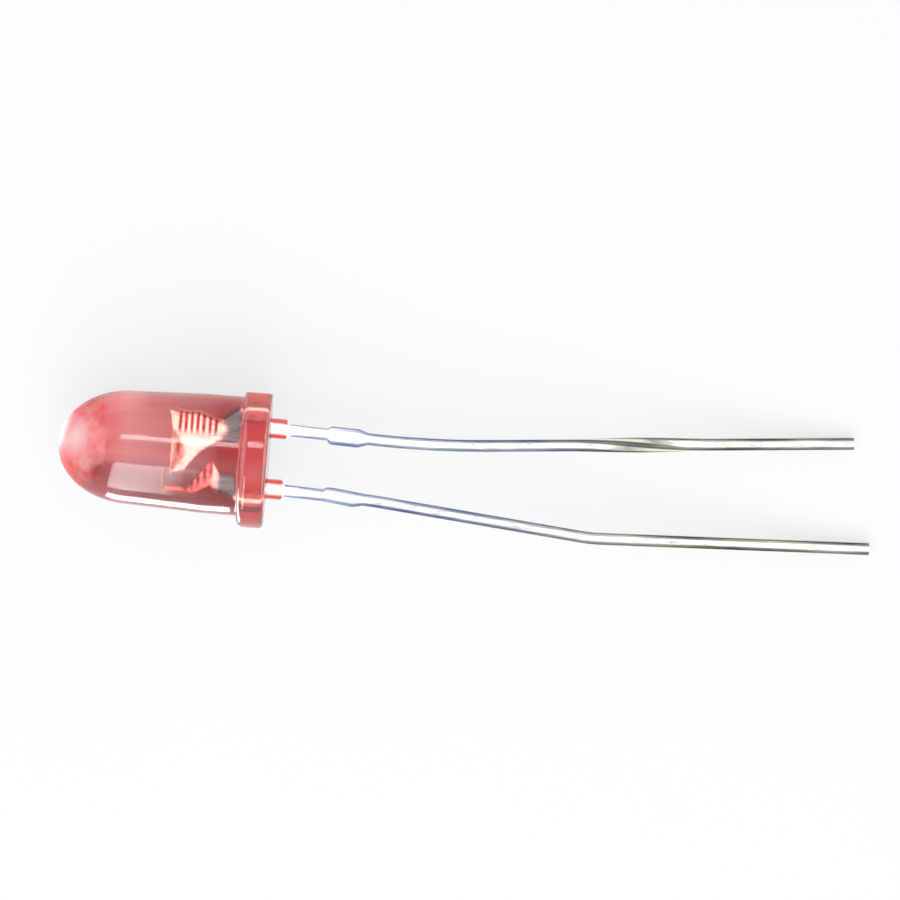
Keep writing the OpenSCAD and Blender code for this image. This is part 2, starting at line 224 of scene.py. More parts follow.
class ResinLook(bpy.types.PropertyGroup):
    """Looks of the clear red resin"""

    tint: colour("Tint", "Colour that the resin's skin adds", (1.0, 0.42, 0.42))
    # Painted shade: a deeper tint on the barrel's two flanks
    flank_shade_tint: colour("Flank tint", "Tint of the barrel's two flanks", (0.65, 0.17, 0.17))
    under_front: colour("Underside", "Tint below the dome's end", (0.95, 0.42, 0.42))
    # Painted shade on the underside: deeper towards the flange, on the -Y side and below the flange
    under_back_shade: colour("Underside, back", "Tint below the flange's end", (0.22, 0.002, 0.002))
    shade_front: colour("Shade", "Tint below the dome's end, -Y side", (0.2, 0.08, 0.08))
    shade_back: colour("Shade, back", "Tint below the flange's end, -Y side", (0.12, 0.001, 0.001))
    flange_shade_tint: colour("Flange tint", "Tint below the flange", (0.56, 0.02, 0.02))
    collar_tint: colour("Collar tint", "Tint of the collars over the leads", (1.0, 0.75, 0.75))
    collar_rim: colour("Collar rim", "Tint of the collars beside the leads", (1.0, 0.12, 0.12))
    # Painted glow: a clear tint that lets the white backdrop through on the tip and below it
    tip_glow_tint: colour("Tip tint", "Tint of the clear patch on the tip", (1.0, 1.0, 1.0))
    dome_light: colour("Dome, light", "Light mottle of the dome", (1.0, 0.2, 0.2))
    dome_dark: colour("Dome, dark", "Dark mottle of the dome", (1.0, 0.02, 0.02))
    depth_colour: colour("Depth colour", "Colour that the resin lets through", (0.92, 0.5, 0.5))
    density: factor("Density", "Absorption for each metre at the darkest colour", 120.0, 2000)
    shadow: colour("Shadow", "Colour of the light that passes through", (1.0, 0.8, 0.8))
    roughness: factor("Roughness", "Roughness of the moulded skin", 0.1)
    tip_roughness: factor("Tip roughness", "How much rougher the dome's tip is", 0.35)


class MetalLook(bpy.types.PropertyGroup):
    """Looks of the plated leadframe"""

    bright: colour("Bright", "Colour of clean plating", (0.97, 0.96, 0.82))
    # Painted shade: a dark steel colour laid on the stamping inside the resin
    painted_shade: colour("Steel shade", "Colour of the bare steel inside the resin", (0.04, 0.12, 0.12))
    # Painted reflection of the red resin on the steel inside it
    red_reflection: colour("Red reflection", "Colour of the steel that mirrors the resin", (0.3, 0.045, 0.045))
    # Painted shade along the leads' edges, standing in for their dark reflections
    shaded_edge: colour("Edge shade", "Colour of thin plating along the edges", (0.08, 0.12, 0.27))
    shaded_edge_far: colour("Worn, far", "That colour towards the leads' tips", (0.05, 0.05, 0.045))
    roughness: factor("Roughness", "Roughness of the plating", 0.3)


class StageLook(bpy.types.PropertyGroup):
    """The floor, the light and the camera"""

    floor: colour("Floor", "Colour of the floor", (0.95, 0.95, 0.95))
    floor_glow: factor("Floor glow", "Share of plain white in the floor's look", 0.75)
    resin_glow: factor("Glow in resin", "That share where the resin shows the floor", 0.8)
    room: colour("Room", "Light from all round the part", (0.32, 0.34, 0.38))
    glow: colour("Glow", "Colour of the soft light from above", (1.0, 1.0, 1.0))
    glow_level: factor("Glow level", "Strength of that light", 1.2, 10)
    glow_tilt: factor("Glow tilt", "Tilt of that light towards -Y, in degrees", 28.0, 90)
    glow_power: factor("Glow power", "How fast that light fades off its middle", 16.0, 100)
    frame_width: length("Frame width", "Width that the camera sees at the axis", 37.66)
    camera_turn: factor("Camera turn", "Turn of the camera about the view, in degrees", 4.6, 90)
    camera_height: length("Camera height", "Distance from the axis to the camera", 400.0)


# ---- Mesh tools ----------------------------------------------------------------------------------

# Faces that meet at more than this angle keep a sharp edge between them
SHARP = math.radians(40)


def make_piece(name, points, faces, masks=None):
    """A mesh object from points in millimetres and a list of index arrays, one row a face, with
    each of masks as a number on its points."""
    mesh = bpy.data.meshes.new(name)
    mesh.vertices.add(len(points))
    mesh.vertices.foreach_set("co", (points * MM).astype(np.float32).ravel())
    corners = np.concatenate([f.ravel() for f in faces]).astype(np.int32)
    counts = np.concatenate([np.full(len(f), f.shape[1]) for f in faces])
    mesh.loops.add(len(corners))
    mesh.loops.foreach_set("vertex_index", corners)
    mesh.polygons.add(len(counts))
    mesh.polygons.foreach_set("loop_start", (np.cumsum(counts) - counts).astype(np.int32))
    mesh.update(calc_edges=True)
    if mesh.validate():
        raise ValueError(f"{name} has faces that aren't valid")
    mesh.shade_smooth()
    mesh.set_sharp_from_angle(angle=SHARP)
    for key, values in (masks or {}).items():
        mesh.attributes.new(key, "FLOAT", "POINT").data.foreach_set(
            "value", values.astype(np.float32)
        )
    piece = bpy.data.objects.new(name, mesh)
    bpy.context.scene.collection.objects.link(piece)
    return piece


def add_piece(name, node, material, surface):
    """Makes a piece from its points, faces and masks, and puts it in its CAD node's place."""
    piece = make_piece(name, *surface)
    piece.data.materials.append(material)
    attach(piece, "root")
    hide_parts(node)


def ring_faces(rings, count):
    """Quads between neighbouring rings of count points each."""
    grid = np.arange(rings * count).reshape(rings, count)
    near, far = grid[:-1], grid[1:]
    return np.stack(
        [near, far, np.roll(far, -1, 1), np.roll(near, -1, 1)], -1
    ).reshape(-1, 4)


def pole_faces(ring, pole, count, last=True):
    """Triangles from the first or last ring, which starts at index ring, to the point pole."""
    one = ring + np.arange(count)
    two = np.roll(one, -1)
    middle = np.full(count, pole)
    return np.stack([two, one, middle] if last else [one, two, middle], -1)


def close_rings(rings, first=None, last=None):
    """Points and faces of a tube of rings, drawn to a point at each end that has one. It looks
    outwards where the rings turn from +Y to +Z on a path towards -X."""
    count, around = rings.shape[:2]
    total = count * around
    points, faces = [rings.reshape(-1, 3)], [ring_faces(count, around)]
    if first is not None:
        points.append([first])
        faces.append(pole_faces(0, total, around, False))
        total += 1
    if last is not None:
        points.append([last])
        faces.append(pole_faces((count - 1) * around, total, around))
    return np.concatenate(points), faces


def cap_rings(ring, out, shares):
    """Rings that round the end of a tube: its last ring, set out along X, and drawn in to its
    middle by each of shares."""
    middle = ring.mean(0)
    return np.array([ring + (middle - ring) * share + [out, 0, 0] for share in shares])


def full_turn(count):
    """Evenly spaced angles round a full turn."""
    return np.linspace(0, 2 * np.pi, count, endpoint=False)


def turned_rings(profile, turn):
    """A profile of [x, r] turned about the X axis: y is r cos(turn) and z is r sin(turn)."""
    profile = np.asarray(profile, float)
    x, r = profile[:, :1], profile[:, 1:]
    return np.stack([x + 0 * turn, r * np.cos(turn), r * np.sin(turn)], -1)


def join(parts):
    """Several surfaces as one list of points and faces."""
    points, faces, total = [], [], 0
    for part, cells in parts:
        points.append(part)
        faces += [f + total for f in cells]
        total += len(part)
    return np.concatenate(points), faces


def arc(centre, radius, start, stop, count):
    """Points on an arc of [x, r] about centre, from one angle to another in degrees."""
    a = np.radians(np.linspace(start, stop, count))
    return np.stack([centre[0] + radius * np.cos(a), centre[1] + radius * np.sin(a)], -1)


def line(start, stop, count):
    """Points on a straight line, without its last one."""
    t = np.linspace(0, 1, count, endpoint=False)[:, None]
    return np.asarray(start) * (1 - t) + np.asarray(stop) * t


def unit(vectors):
    """Each vector along the last axis, made 1 long."""
    return vectors / np.linalg.norm(vectors, axis=-1, keepdims=True)


def smooth_min(a, b, k):
    """The smaller of a and b, with a rounding k wide where they meet."""
    h = np.clip(0.5 + 0.5 * (b - a) / k, 0, 1)
    return b * (1 - h) + a * h - k * h * (1 - h)


def smooth_step(x):
    """0 below 0, 1 above 1, and 3x^2 - 2x^3 between them."""
    t = np.clip(x, 0, 1)
    return t * t * (3 - 2 * t)


# ---- Node tools ----------------------------------------------------------------------------------

BUMP_STRENGTH = 0.3


class Nodes:
    """Places and links the nodes of one node tree."""

    def __init__(self, tree):
        self.tree = tree

    def add(self, kind, settings=None, **inputs):
        """A node of this kind, with settings on the node and values or links on its inputs."""
        node = self.tree.nodes.new(kind)
        for key, value in (settings or {}).items():
            setattr(node, key, value)
        for key, value in inputs.items():
            self.feed(node.inputs[key.replace("_", " ")], value)
        return node

    def feed(self, socket, value):
        """Links a socket or sets a value."""
        if isinstance(value, bpy.types.NodeSocket):
            self.tree.links.new(value, socket)
        else:
            socket.default_value = value

    def math(self, operation, a, b=0.0, clamp=False):
        """A Math node's output."""
        node = self.add("ShaderNodeMath", {"operation": operation, "use_clamp": clamp})
        self.feed(node.inputs[0], a)
        self.feed(node.inputs[1], b)
        return node.outputs[0]

    def measure(self, operation, a, b):
        """The number that a Vector Math node gives for two vectors."""
        node = self.add("ShaderNodeVectorMath", {"operation": operation})
        self.feed(node.inputs[0], a)
        self.feed(node.inputs[1], b)
        return node.outputs["Value"]

    def mix(self, amount, a, b):
        """A colour between a and b."""
        node = self.add("ShaderNodeMix", {"data_type": "RGBA"})
        self.feed(node.inputs[0], amount)
        self.feed(node.inputs[6], a if isinstance(a, bpy.types.NodeSocket) else (*a, 1))
        self.feed(node.inputs[7], b if isinstance(b, bpy.types.NodeSocket) else (*b, 1))
        return node.outputs[2]

    def blend(self, amount, a, b):
        """A shader between the nodes a and b."""
        node = self.add("ShaderNodeMixShader", Fac=amount)
        self.feed(node.inputs[1], a.outputs[0])
        self.feed(node.inputs[2], b.outputs[0])
        return node.outputs[0]

    def ramp(self, value, low, high, to_low=0.0, to_high=1.0):
        """A Map Range node's output, clamped."""
        node = self.add("ShaderNodeMapRange")
        self.feed(node.inputs[0], value)
        for socket, number in zip(list(node.inputs)[1:5], (low, high, to_low, to_high)):
            self.feed(socket, number)
        return node.outputs[0]

    def fade(self, value, start, end, to_start=0.0, to_end=1.0):
        """A ramp between two places in millimetres."""
        return self.ramp(value, start * MM, end * MM, to_start, to_end)

    def place(self):
        """The x, y and z of each point on the piece, in metres."""
        point = self.add("ShaderNodeTexCoord").outputs["Object"]
        return self.add("ShaderNodeSeparateXYZ", Vector=point).outputs

    def mask(self, name):
        """A number that the piece's mesh carries on its points."""
        return self.add("ShaderNodeAttribute", {"attribute_name": name}).outputs["Fac"]

    def bump(self, height, depth):
        """The normal of a bump that is depth millimetres deep."""
        return self.add(
            "ShaderNodeBump", Strength=BUMP_STRENGTH, Distance=depth * MM, Height=height
        ).outputs[0]


def node_group(name, inputs, outputs, build):
    """A shader node group with named numbers in and out, built once."""
    group = bpy.data.node_groups.new(name, "ShaderNodeTree")
    number = "NodeSocketFloat"
    for label, default in inputs.items():
        socket = group.interface.new_socket(label, in_out="INPUT", socket_type=number)
        socket.default_value = default
    for label in outputs:
        group.interface.new_socket(label, in_out="OUTPUT", socket_type=number)
    nodes = Nodes(group)
    build(nodes, nodes.add("NodeGroupInput").outputs, nodes.add("NodeGroupOutput").inputs)
    return group


def build_grain(nodes, given, put):
    """Two noises on Object coordinates, one coarse and one six times finer, stretched along X."""
    place = nodes.add("ShaderNodeTexCoord").outputs["Object"]
    stretch = nodes.add("ShaderNodeCombineXYZ", X=given["Along"], Y=1.0, Z=1.0).outputs[0]
    placed = nodes.add("ShaderNodeMapping", Vector=place, Scale=stretch).outputs[0]
    coarse = nodes.add(
        "ShaderNodeTexNoise", Vector=placed, Scale=given["Scale"], Detail=3.0
    ).outputs[0]
    fine_scale = nodes.math("MULTIPLY", given["Scale"], 6.0)
    fine = nodes.add(
        "ShaderNodeTexNoise", Vector=placed, Scale=fine_scale, Detail=2.0
    ).outputs[0]
    nodes.feed(put["Patches"], nodes.ramp(coarse, 0.3, 0.7))
    nodes.feed(put["Specks"], nodes.ramp(fine, 0.35, 0.65))


def build_edge_shade(nodes, given, put):
    """The piece's edge mask for painted edge shade, broken up by a noise that takes away up to a
    quarter of it.
    """
    broken = nodes.ramp(given["Break up"], 0.0, 1.0, 0.75, 1.0)
    shaded_edge = nodes.math("MULTIPLY", nodes.mask("edge"), broken)
    nodes.feed(put["Mask"], nodes.math("MULTIPLY", shaded_edge, given["Amount"], clamp=True))


GROUPS = {}


def make_groups():
    """Builds the node groups that the materials share."""
    GROUPS["grain"] = node_group(
        "Fine grain", {"Scale": 400.0, "Along": 1.0}, ("Patches", "Specks"), build_grain
    )
    GROUPS["edge_shade"] = node_group(
        "Painted edge shade", {"Amount": 1.0, "Break up": 0.5}, ("Mask",), build_edge_shade
    )


def use_group(nodes, key, **inputs):
    """The outputs of a shared group, placed in this tree with its own values."""
    return nodes.add("ShaderNodeGroup", {"node_tree": GROUPS[key]}, **inputs).outputs


def new_material(name):
    """A material with an empty tree: its Nodes and its output node."""
    material = bpy.data.materials.new(name)
    material.use_nodes = True
    material.node_tree.nodes.clear()
    nodes = Nodes(material.node_tree)
    return material, nodes, nodes.add("ShaderNodeOutputMaterial")


def darker(colour, share):
    """A colour with each of its parts taken down to a share."""
    return [part * share for part in colour]


def uneven(nodes, specks, roughness):
    """A roughness that the specks vary by a fifth to each side."""
    return nodes.ramp(specks, 0, 1, roughness * 0.8, roughness * 1.2)


# ---- Materials -----------------------------------------------------------------------------------

# Where the resin's tint changes, in millimetres from the flange's back face or from the axis: the
# place where each change starts and the place where it is complete
COLLAR_START = (-0.05, 0.05)
COLLAR_BESIDE = (0.2, 0.3)
FLANGE_FRONT = (-1.25, -1.05)
# Painted shade on the barrel's flanks, across and along
FLANK_SIDE = (1.2, 1.9)
FLANK_RUN = (-6.2, -5.0)
DOME_START = (-5.8, -7.0)
DOME_TIP = (-7.0, -8.3)
# Painted shade on the resin's underside: its start below the axis, its run along, its -Y side, and
# its clear end below the tip
UNDERSIDE = (-1.8, -2.2)
UNDERSIDE_RUN = (-6.4, -2.1)
UNDERSIDE_SHADE = (-0.1, -0.26)
UNDERSIDE_TIP = (-6.72, -6.82)
# A painted glow on the tip: the round clear spot's middle and edge
GLOW_PATCH_MIDDLE = (-8.55, 0.3, 0)
GLOW_PATCH_EDGE = (1.1, 0.3)
# The same for the painted shade along the leads' edges, which grows wider and darker along
# them, and how much of its mask is left out where it is narrow
EDGE_SHADE_WIDER = (1, 9)
EDGE_SHADE_DARKER = (4, 16)
EDGE_SHADE_LEFT_OUT = 0.6


def underside_shade_tint(nodes, look, x, y):
    """The tint of the resin's underside, which colours what is seen through the body, with painted
    shade: deeper towards the flange, below it and on the shaded -Y side, and clear below the tip."""
    run = nodes.fade(x, *UNDERSIDE_RUN)
    tint = nodes.mix(
        nodes.fade(y, *UNDERSIDE_SHADE),
        nodes.mix(run, look.under_front, look.under_back_shade),
        nodes.mix(run, look.shade_front, look.shade_back),
    )
    tint = nodes.mix(nodes.fade(x, *FLANGE_FRONT), tint, look.flange_shade_tint)
    return nodes.mix(nodes.fade(x, *UNDERSIDE_TIP), tint, look.tip_glow_tint)


def resin_tint(nodes, look, pitch, mottle, dome):
    """The tint of the resin's skin: mottled on the dome, with a round clear patch on its tip that
    shows a painted glow, painted shade on the barrel's flanks, and on the collars clear over the
    leads and red beside them."""
    x, y, z = nodes.place()
    off_axis = nodes.math("ABSOLUTE", y)
    flank = nodes.math(
        "MULTIPLY", nodes.fade(off_axis, *FLANK_SIDE), nodes.fade(x, *FLANK_RUN)
    )
    side = nodes.mix(flank, look.tint, look.flank_shade_tint)
    side = nodes.mix(nodes.fade(x, *FLANGE_FRONT), side, look.tint)
    spots = nodes.mix(mottle["Patches"], look.dome_light, look.dome_dark)
    across = nodes.add("ShaderNodeCombineXYZ", X=x, Y=y).outputs[0]
    apart = nodes.measure("DISTANCE", across, [part * MM for part in GLOW_PATCH_MIDDLE])
    spots = nodes.mix(nodes.fade(apart, *GLOW_PATCH_EDGE), spots, look.tip_glow_tint)
    tint = nodes.mix(dome, side, spots)
    tint = nodes.mix(nodes.fade(z, *UNDERSIDE), tint, underside_shade_tint(nodes, look, x, y))
    beside = nodes.math("ABSOLUTE", nodes.math("SUBTRACT", off_axis, pitch / 2 * MM))
    collar = nodes.mix(nodes.fade(beside, *COLLAR_BESIDE), look.collar_tint, look.collar_rim)
    return nodes.mix(nodes.fade(x, *COLLAR_START), tint, collar)


def resin_material(look, pitch):
    """Clear red resin: refracting, darker with depth, and tinted on its faintly wavy moulded
    skin, which is rougher on the tip. Its shadow lets a pale red light through."""
    material, nodes, out = new_material("clear red resin")
    x = nodes.place()["X"]
    fine = use_group(nodes, "grain", Scale=700.0, Along=0.6)
    mottle = use_group(nodes, "grain", Scale=2200.0, Along=1.0)
    dome = nodes.fade(x, *DOME_START)
    wavy = nodes.math("ADD", fine["Patches"], nodes.math("MULTIPLY", mottle["Patches"], dome))
    rough = nodes.ramp(fine["Specks"], 0, 1, look.roughness, look.roughness * 1.5)
    rough_tip = nodes.fade(x, *DOME_TIP, 0.0, look.tip_roughness)
    skin = nodes.add(
        "ShaderNodeBsdfPrincipled",
        Base_Color=resin_tint(nodes, look, pitch, mottle, dome),
        Roughness=nodes.math("ADD", rough, rough_tip),
        IOR=1.53,
        Transmission_Weight=0.97,
        Normal=nodes.bump(wavy, 0.02),
    )
    shadow = nodes.add("ShaderNodeLightPath").outputs["Is Shadow Ray"]
    clear = nodes.add("ShaderNodeBsdfTransparent", Color=(*look.shadow, 1))
    nodes.feed(out.inputs["Surface"], nodes.blend(shadow, skin, clear))
    depth = nodes.add(
        "ShaderNodeVolumeAbsorption", Color=(*look.depth_colour, 1), Density=look.density
    )
    nodes.feed(out.inputs["Volume"], depth.outputs[0])
    return material


def plated_material(look):
    """Plated steel: bright drawn metal with fine streaks. Inside the resin it has painted shade in
    a dark steel colour and painted red reflections of the resin, and its edges have painted shade,
    a little rougher, that stands in for their dark reflections: bluish next to the flange, and
    darker and wider towards the tips."""
    material, nodes, out = new_material("plated steel")
    x = nodes.place()["X"]
    grain = use_group(nodes, "grain", Scale=1500.0, Along=0.12)
    edge_shade = use_group(nodes, "edge_shade", Amount=1.0, Break_up=grain["Patches"])["Mask"]
    left_out = nodes.fade(x, *EDGE_SHADE_WIDER, EDGE_SHADE_LEFT_OUT, 0.0)
    edge_shade = nodes.math(
        "DIVIDE", nodes.math("SUBTRACT", edge_shade, left_out), nodes.math("SUBTRACT", 1.0, left_out),
        clamp=True,
    )
    bright = nodes.mix(grain["Patches"], look.bright, darker(look.bright, 0.9))
    shaded = nodes.mix(grain["Patches"], look.painted_shade, darker(look.painted_shade, 0.6))
    base = nodes.mix(nodes.mask("red_reflection"), nodes.mix(nodes.mask("painted_shade"), bright, shaded), look.red_reflection)
    shaded_edge = nodes.mix(nodes.fade(x, *EDGE_SHADE_DARKER), look.shaded_edge, look.shaded_edge_far)
    rough = uneven(nodes, grain["Specks"], look.roughness)
    metal = nodes.add(
        "ShaderNodeBsdfPrincipled",
        Base_Color=nodes.mix(edge_shade, base, shaded_edge),
        Metallic=1.0,
        Roughness=nodes.math("ADD", rough, nodes.math("MULTIPLY", edge_shade, 0.15)),
        Normal=nodes.bump(grain["Specks"], 0.01),
    )
    nodes.feed(out.inputs["Surface"], metal.outputs[0])
    return material


def plain_material(name, light, dark, roughness, metallic, scale):
    """A fine mottled finish between two colours."""
    material, nodes, out = new_material(name)
    grain = use_group(nodes, "grain", Scale=scale, Along=1.0)
    shader = nodes.add(
        "ShaderNodeBsdfPrincipled",
        Base_Color=nodes.mix(grain["Patches"], light, dark),
        Metallic=metallic,
        Roughness=uneven(nodes, grain["Specks"], roughness),
        Normal=nodes.bump(grain["Specks"], 0.01),
    )
    nodes.feed(out.inputs["Surface"], shader.outputs[0])
    return material


# ---- Lens ----------------------------------------------------------------------------------------

AROUND = 360
COLLAR_AROUND = 64
RIM_MARGIN = 0.15
COLLAR_MARGIN = 0.06
FLAT_EASE = 0.05


def lens_profile(s):
    """[x, r] points from the flange's back face, over its rim and along the barrel, to the dome,
    which is a quarter of an ellipse."""
    flange_r, barrel_r, dome_r = -LENS_LO.z, s.barrel_d / 2, s.dome_d / 2
    tip = LENS_LO.x
    front = -s.flange_t
    straight = front - s.barrel_len
    taper = straight - s.cone_len
    rim, fillet, root = s.rim_round, s.flange_fillet, s.root_round
    dome_angle = np.radians(np.linspace(0, 90, 72, endpoint=False))
    dome = np.stack(
        [taper + (tip - taper) * np.sin(dome_angle), dome_r * np.cos(dome_angle)], -1
    )
    return np.concatenate([
        line([0, flange_r - rim - RIM_MARGIN], [0, flange_r - rim], 3),
        arc([-rim, flange_r - rim], rim, 0, 90, 7),
        line([-rim, flange_r], [front + fillet, flange_r], 10)[1:],
        arc([front + fillet, flange_r - fillet], fillet, 90, 180, 13),
        line([front, flange_r - fillet], [front, barrel_r + root], 4)[1:],
        arc([front - root, barrel_r + root], root, 0, -90, 6),
        line([front - root, barrel_r], [straight, barrel_r], 12)[1:],
        line([straight, barrel_r], [taper, dome_r], 24),
        dome,
    ])


def collar_profile(s):
    """[x, r] points from the flange's back face, over the collar's foot, to its end."""
    radius, top = s.collar_d / 2, LENS_HI.x
    foot, end = s.collar_foot, s.collar_round
    return np.concatenate([
        line([0, radius + foot + COLLAR_MARGIN], [0, radius + foot], 2),
        arc([foot, radius + foot], foot, 180, 270, 6),
        line([foot, radius], [top - end, radius], 6)[1:],
        arc([top - end, radius - end], end, 90, 0, 8),
        line([top, radius - end], [top, 0], 3)[1:],
    ])


def lens_surface(s, pitch):
    """The profile turned about the X axis, with y held to the flat by a smooth minimum on the
    flange, and closed by a flat back face that carries the two collars. The collars run towards
    +X, so they turn the other way."""
    body = turned_rings(lens_profile(s), full_turn(AROUND))
    flat = np.full_like(body[..., 1], LENS_HI.y)
    body[..., 1] = smooth_min(body[..., 1], flat, FLAT_EASE)
    tubes, ends = [body], [[LENS_LO.x, 0, 0]]
    for middle in (-pitch / 2, pitch / 2):
        collar = turned_rings(collar_profile(s), -full_turn(COLLAR_AROUND))
        tubes.append(collar + [0, middle, 0])
        ends.append([LENS_HI.x, middle, 0])
    points, faces = join(close_rings(tube, last=end) for tube, end in zip(tubes, ends))
    return points, [*faces, back_face(tubes)]


def back_face(tubes):
    """Triangles over the flat back face, between the body's first ring and the collars'. Each
    tube's points come after those of the one before, with one more point at its end."""
    index, edges, place, flat_place = [], [], 0, 0
    for tube in tubes:
        here = np.arange(tube.shape[1])
        index.append(place + here)
        edges += (flat_place + np.stack([here, np.roll(here, -1)], -1)).tolist()
        place += tube.shape[0] * tube.shape[1] + 1
        flat_place += tube.shape[1]
    outline = [tube[0, :, 1:] for tube in tubes]
    flat = np.concatenate(outline)
    cells = delaunay_2d_cdt([Vector(p) for p in flat.tolist()], edges, [], 1, 1e-7)[2]
    cells = np.array(cells)
    centre = flat[cells].mean(1)
    inside = np.zeros(len(cells), bool)
    for ring in outline[1:]:
        middle = ring.mean(0)
        inside |= np.hypot(*(centre - middle).T) < np.hypot(*(ring[0] - middle))
    cells = cells[~inside]
    a, b, c = (flat[cells[:, k]] for k in range(3))
    turn = (b[:, 0] - a[:, 0]) * (c[:, 1] - a[:, 1]) - (b[:, 1] - a[:, 1]) * (c[:, 0] - a[:, 0])
    cells[turn < 0] = cells[turn < 0][:, ::-1]
    return np.concatenate(index)[cells]


# ---- Leads ---------------------------------------------------------------------------------------

# Points on each rounded corner of a lead's section, and on its wide and its narrow faces
CORNER, WIDE, NARROW = 7, 34, 6
LOOP = 4 * CORNER + 2 * WIDE + 2 * NARROW
# Where the painted edge shade on a face starts and is full, as shares of half the face from its
# middle
EDGE_SHADE_ON_FACE = (0.4, 0.9)
# Rounding of a lead's cut tip, and how far its two rings, and the post's, are drawn in
TIP_ROUND = 0.03
TIP_SHARES = (0.12, 0.5)
POST_SHARES = (0.08, 0.5)
# Painted edge shade on the tips and on the stamping, and the length over which it fades in past the
# flange
TIP_EDGE_SHADE = 0.5
STAMPED_EDGE_SHADE = 0.1
EDGE_SHADE_FADE = 0.1


def along(x, knots):
    """Straight lines through [x, value] knots."""
    knots = np.asarray(knots, float)
    return np.interp(x, knots[:, 0], knots[:, 1])


def bend_offset(x, start, run, slope):
    """Offset that a bend adds at x: none, then a parabola, then a straight line."""
    inside = slope * np.clip(x - start, 0, run) ** 2 / (2 * run)
    return inside + slope * np.maximum(x - start - run, 0)


def bend_slope(x, start, run, slope):
    """Slope that a bend adds at x."""
    return slope * np.clip((x - start) / run, 0, 1)


def section_loop(low, high, half, radius):
    """Rounded rectangles from low to high across and -half to half up, one row a station: four
    quarter circles, with evenly spaced points on the faces between them. The painted edge shade
    that goes with them is full on the corners and fades out over the outer part of each face."""
    low, high, half, radius = (v[:, None] for v in np.broadcast_arrays(low, high, half, radius))
    quarter = np.radians(np.linspace(0, 90, CORNER))
    arcs = [
        np.stack([y + radius * np.cos(quarter + turn), z + radius * np.sin(quarter + turn)], -1)
        for y, z, turn in (
            (high - radius, half - radius, 0), (low + radius, half - radius, np.pi / 2),
            (low + radius, radius - half, np.pi), (high - radius, radius - half, 1.5 * np.pi))
    ]
    loops, edge_shade = [], []
    for k, count in enumerate((WIDE, NARROW, WIDE, NARROW)):
        t = np.linspace(0, 1, count + 2)[1:-1]
        start, end = arcs[k][:, -1:], arcs[(k + 1) % 4][:, :1]
        loops += [arcs[k], start * (1 - t[:, None]) + end * t[:, None]]
        edge_shade += [np.ones(CORNER), np.interp(np.abs(2 * t - 1), EDGE_SHADE_ON_FACE, (0, 1))]
    return np.concatenate(loops, 1), np.concatenate(edge_shade)


def lead_stations(length, turned, s):
    """Places along x for the lead's rings, closer together in the stubs, the kink and the
    twist, from the tip to the flange."""
    stretches = [
        (0, length, 160),
        (s.dam_at, s.dam_at + s.dam_len, 40),
        (s.kink_at - s.kink_len / 3, s.kink_at + s.kink_len * 4 / 3, 16),
    ]
    if turned:
        stretches.append((s.twist_at, s.twist_at + s.twist_len, 90))
    places = np.concatenate([np.linspace(*stretch) for stretch in stretches])
    return np.unique(np.round(places, 3))[::-1]


def stub_height(x, s, height, rise, fade):
    """Height that a dam bar's stub adds at x: a slope up, a level top and a slope down."""
    up = np.clip((x - s.dam_at) / rise, 0, 1)
    down = np.clip((s.dam_at + s.dam_len - x) / fade, 0, 1)
    return height * np.minimum(up, down)


def lead_rings(length, side, bends, stub_high, stub_low, turned, s):
    """Rounded squares along the lead's line, each square to the run and turned by the twist. The
    line leans from the flange on, each bend adds to its slope sideways, and the droop's slope
    brings the underside of its tip down to the level of the flange's lowest point."""
    x = lead_stations(length, turned, s)
    half = s.width / 2
    lean = -math.tan(math.radians(s.lean))
    drop = -LENS_LO.z - half
    run = length - s.droop_at - s.droop_len / 2
    fall = -(drop + half * (1 - math.cos(math.atan(drop / run)))) / run
    droop = (s.droop_at, s.droop_len, fall)
    y = side * s.pitch / 2 + lean * x + sum(bend_offset(x, *b) for b in bends)
    slope = np.where(x > 0, lean, 0) + sum(bend_slope(x, *b) for b in bends)
    way = unit(np.stack([np.ones_like(x), slope, bend_slope(x, *droop)], -1))
    across = unit(np.stack([-slope, np.ones_like(x), np.zeros_like(x)], -1))
    up = np.cross(way, across)
    turn = np.pi / 2 * smooth_step((x - s.twist_at) / s.twist_len) if turned else x * 0
    cos, sin = np.cos(turn)[:, None], np.sin(turn)[:, None]
    wide, thick = across * cos + up * sin, up * cos - across * sin
    high = half + stub_height(x, s, *stub_high)
    low = half + stub_height(x, s, *stub_low)
    loop, edge_shade = section_loop(-low, high, half, s.edge_round)
    centre = np.stack([x, y, bend_offset(x, *droop)], -1)
    rings = (
        centre[:, None]
        + wide[:, None] * loop[..., :1]
        + thick[:, None] * loop[..., 1:]
    )
    return rings, edge_shade * np.clip((x[:, None] - LENS_HI.x) / EDGE_SHADE_FADE, 0, 1)


# ---- Leadframe inside the lens -------------------------------------------------------------------

# Height of the first ring inside the lens, length of the anvil's step, rounding of the post's
# end, and how far past the start of its arm the post's rings stay close together
FIRST_RING = 0.02
STEP = 0.02
POST_ROUND = 0.03
ARM_START = 0.3
# The painted highlight beside the neck: how far below the neck, how far in, and its spread
NECK_HIGHLIGHT = (0.18, 0.2, 0.02)
# The painted red reflection in the cup's hollow: how far below its rim and off the axis, and its
# height and width
CUP_REFLECTION_AT = (0.3, 0.1)
CUP_REFLECTION_SIZE = (0.12, 0.2)
# Small roundings of the cup's rim and floor, the rounding where it grows out of the anvil, and
# the radius below which points near the axis aren't pushed further out
CUP_EASE = 0.01
CUP_BLEND = 0.12
CUP_LEAST = 0.05
# How strong the painted red reflection on the leads is: in the flange, and on the post above its
# neck
FLANGE_RED_REFLECTION = 0.5
POST_RED_REFLECTION = 0.8
# How much painted shade the stamping has below its neck, and the post above it
SHADE_BELOW = 0.97
POST_SHADE = 0.2


